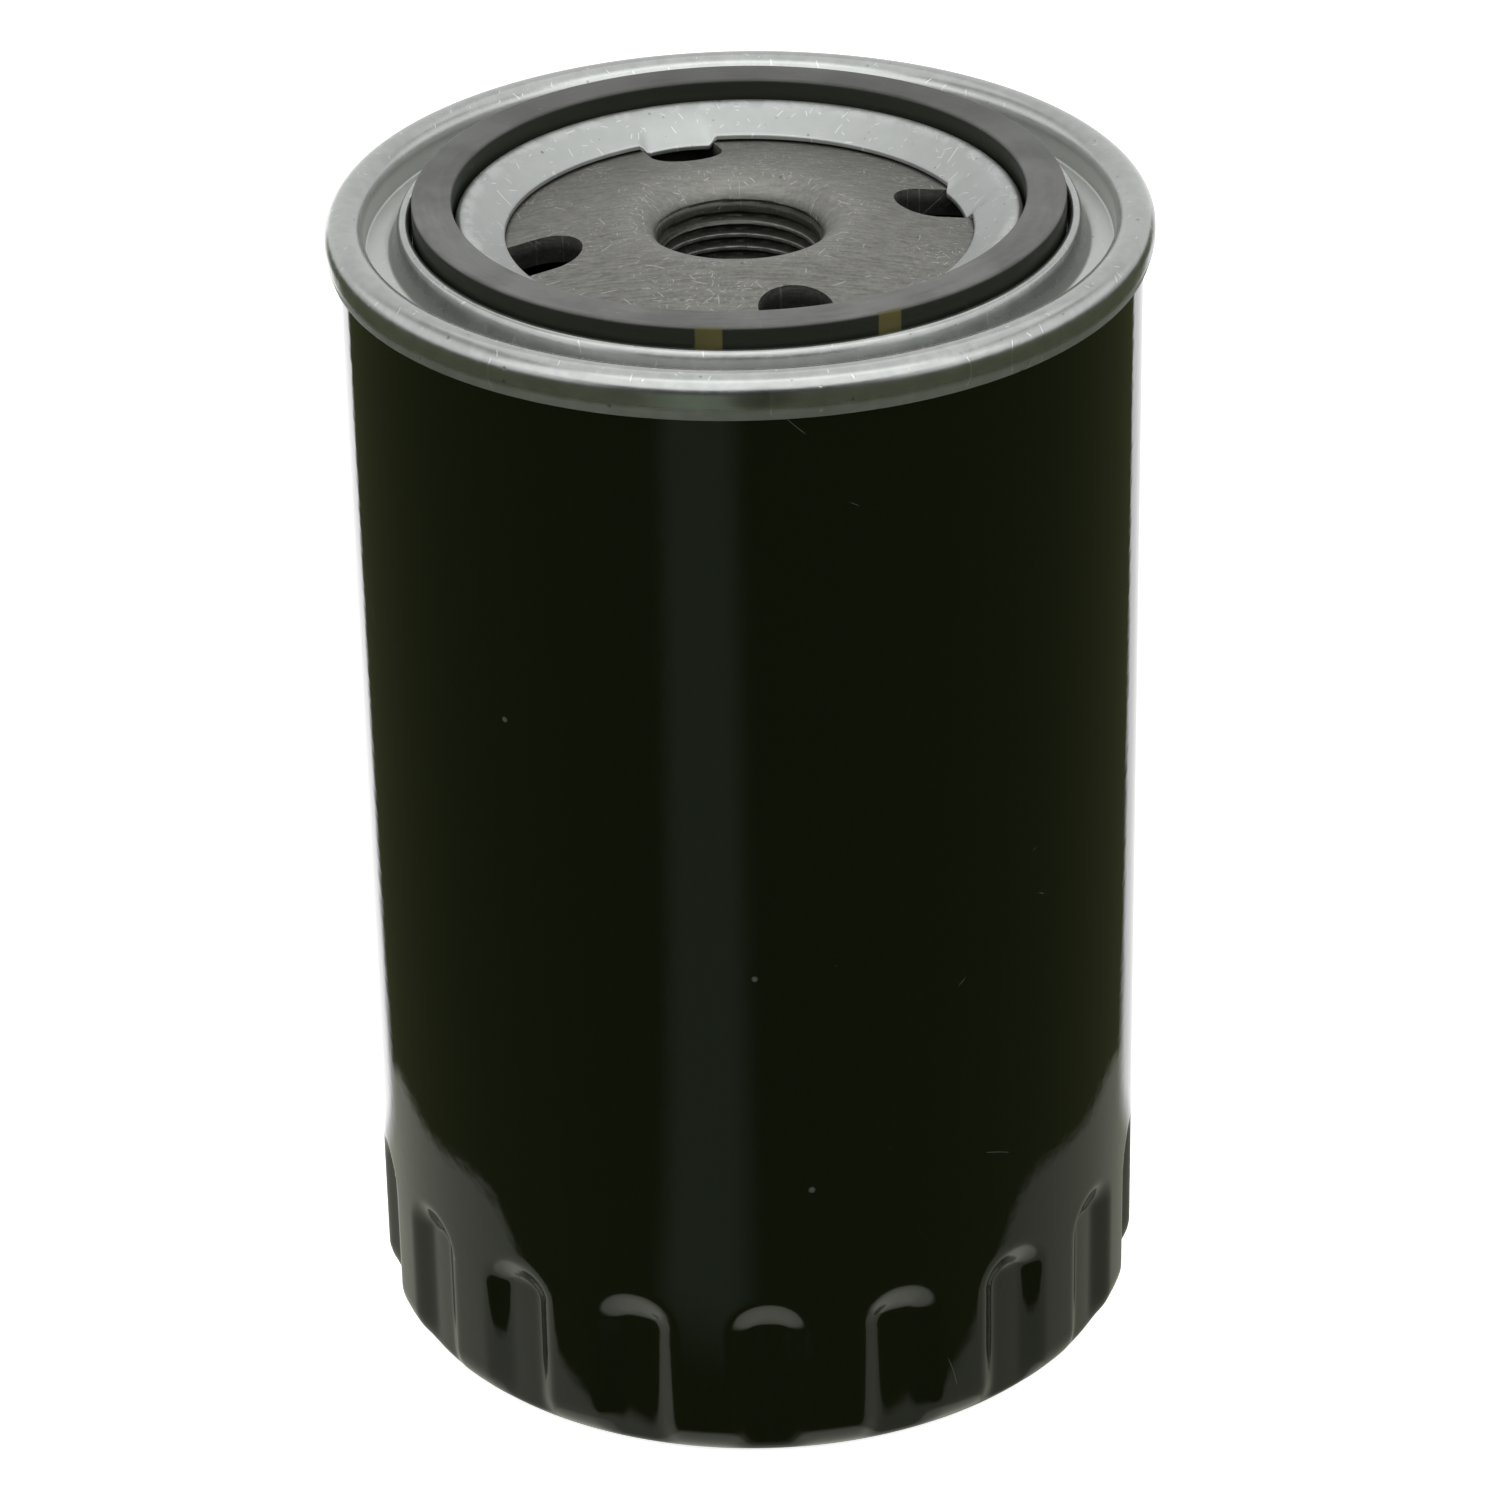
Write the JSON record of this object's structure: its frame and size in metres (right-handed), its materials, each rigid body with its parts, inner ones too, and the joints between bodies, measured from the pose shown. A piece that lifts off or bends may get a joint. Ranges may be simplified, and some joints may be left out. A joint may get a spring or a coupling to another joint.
{
  "type": "spin-on oil filter",
  "caption": "Black spin-on oil filter canister with a fluted closed end, rolled lid seam, rubber sealing ring, slotted threaded plate, sprung pleated element and bypass valve.",
  "frame": {"origin": "middle of the closed end's resting face", "axes": "+Z along the filter's axis from the closed end to the sealing ring; +X to the right of the camera, near one inlet slot"},
  "size_m": [0.0932, 0.0932, 0.1418],
  "materials": {
    "black_paint": "gloss black stove enamel",
    "galvanised_sheet": "dull zinc-coated sheet with fine scratches",
    "plate_steel": "plain rolled steel, grained and lightly scratched",
    "gasket_rubber": "smooth nitrile rubber with a satin face",
    "seam_compound": "cured sealing compound",
    "membrane_rubber": "matt nitrile rubber",
    "cap_steel": "tin-plated pressed sheet",
    "plastisol": "cured plastisol adhesive",
    "filter_paper": "resin-cured cellulose filter paper",
    "tube_steel": "perforated tin-plated sheet",
    "valve_steel": "yellow-passivated pressed steel",
    "spring_steel": "oiled spring steel"
  },
  "bodies": {
    "housing": {"can": "black_paint", "seam_lid": "galvanised_sheet", "threaded_plate": "plate_steel", "sealing_ring": "gasket_rubber", "seam_compound": "seam_compound", "support_spring": "spring_steel"},
    "membrane": {"drainback_valve": "membrane_rubber"},
    "element": {"top_end_cap": "cap_steel", "top_adhesive": "plastisol", "pleated_media": "filter_paper", "media_clip": "cap_steel", "centre_tube": "tube_steel", "bottom_adhesive": "plastisol", "bottom_end_cap": "cap_steel", "bypass_seat": "membrane_rubber", "bypass_cage": "valve_steel", "bypass_spring": "spring_steel"},
    "poppet": {"bypass_poppet": "valve_steel"}
  },
  "joints": [
    {"name": "drainback_opening", "type": "slide", "parent": "housing", "child": "membrane", "axis": [0, 0, -1], "range_m": [0, 0.0015], "stiffness_N_per_m": 600, "springref_m": -0.001, "deforming": ["drainback_valve"]},
    {"name": "element_give", "type": "slide", "parent": "housing", "child": "element", "axis": [0, 0, -1], "range_m": [0, 0.001], "stiffness_N_per_m": 25000, "springref_m": -0.003, "deforming": ["support_spring"]},
    {"name": "bypass_lift", "type": "slide", "parent": "element", "child": "poppet", "axis": [0, 0, 1], "range_m": [0, 0.004], "stiffness_N_per_m": 4000, "springref_m": -0.009, "deforming": ["bypass_spring"]}
  ]
}
